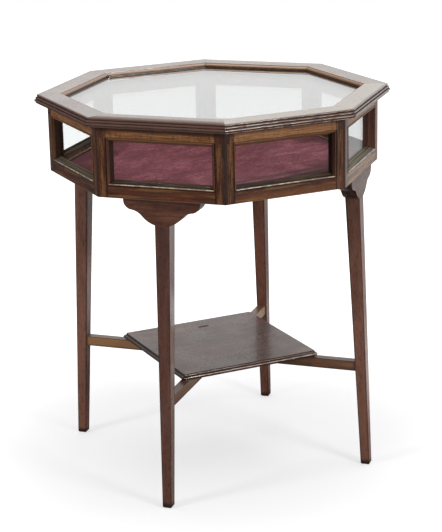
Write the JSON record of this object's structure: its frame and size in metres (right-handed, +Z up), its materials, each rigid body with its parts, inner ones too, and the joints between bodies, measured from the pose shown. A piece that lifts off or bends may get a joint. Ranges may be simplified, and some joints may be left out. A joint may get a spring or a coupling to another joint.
{
  "type": "display table",
  "caption": "Octagonal glazed display table with a velvet-floored case under a hinged glass lid, on tapered splayed legs with a crossed stretcher and a small shelf.",
  "frame": {"origin": "on the floor, under the middle of the table", "axes": "+Z up; the legs stand in front (-Y), right (+X), back (+Y) and left (-X); the lid's hinges are at the back and it opens from the front"},
  "size_m": [0.613, 0.613, 0.716],
  "materials": {
    "lid_mahogany": "polished, with stepped reeds along the edge",
    "case_mahogany": "polished, cross-banded round the windows",
    "bead_mahogany": "polished, round-nosed",
    "stand_mahogany": "polished",
    "shelf_mahogany": "high polish",
    "base_timber": "planed, unpolished",
    "glass": "clear",
    "velvet": "short pile",
    "brass": "satin, slightly aged"
  },
  "bodies": {
    "table": {"corner_post_front_right": "case_mahogany", "corner_post_right_front": "case_mahogany", "corner_post_right_back": "case_mahogany", "corner_post_back_right": "case_mahogany", "corner_post_back_left": "case_mahogany", "corner_post_left_back": "case_mahogany", "corner_post_left_front": "case_mahogany", "corner_post_front_left": "case_mahogany", "top_rail_front": "case_mahogany", "top_rail_front_right": "case_mahogany", "top_rail_right": "case_mahogany", "top_rail_back_right": "case_mahogany", "top_rail_back": "case_mahogany", "top_rail_back_left": "case_mahogany", "top_rail_left": "case_mahogany", "top_rail_front_left": "case_mahogany", "bottom_rail_front": "case_mahogany", "bottom_rail_front_right": "case_mahogany", "bottom_rail_right": "case_mahogany", "bottom_rail_back_right": "case_mahogany", "bottom_rail_back": "case_mahogany", "bottom_rail_back_left": "case_mahogany", "bottom_rail_left": "case_mahogany", "bottom_rail_front_left": "case_mahogany", "side_glass_panes": "glass", "window_cock_beads": "bead_mahogany", "window_glazing_beads": "bead_mahogany", "base_board": "base_timber", "velvet_lining": "velvet", "bracket_front": "stand_mahogany", "bracket_right": "stand_mahogany", "bracket_back": "stand_mahogany", "bracket_left": "stand_mahogany", "leg_front": "stand_mahogany", "leg_right": "stand_mahogany", "leg_back": "stand_mahogany", "leg_left": "stand_mahogany", "stretcher_left_right": "stand_mahogany", "stretcher_front_back": "stand_mahogany", "shelf": "shelf_mahogany", "hinge_case_leaves": "brass", "hinge_pins": "brass", "hinge_case_screws": "brass"},
    "lid": {"lid_rail_front": "lid_mahogany", "lid_rail_front_right": "lid_mahogany", "lid_rail_right": "lid_mahogany", "lid_rail_back_right": "lid_mahogany", "lid_rail_back": "lid_mahogany", "lid_rail_back_left": "lid_mahogany", "lid_rail_left": "lid_mahogany", "lid_rail_front_left": "lid_mahogany", "lid_glass": "glass", "lid_glazing_beads": "lid_mahogany", "hinge_lid_leaves": "brass", "hinge_lid_screws": "brass"}
  },
  "joints": [
    {"name": "lid_hinge", "type": "hinge", "parent": "table", "child": "lid", "pos_m": [0, 0.2877, 0.7], "axis": [-1, 0, 0], "range_deg": [0, 100]}
  ]
}
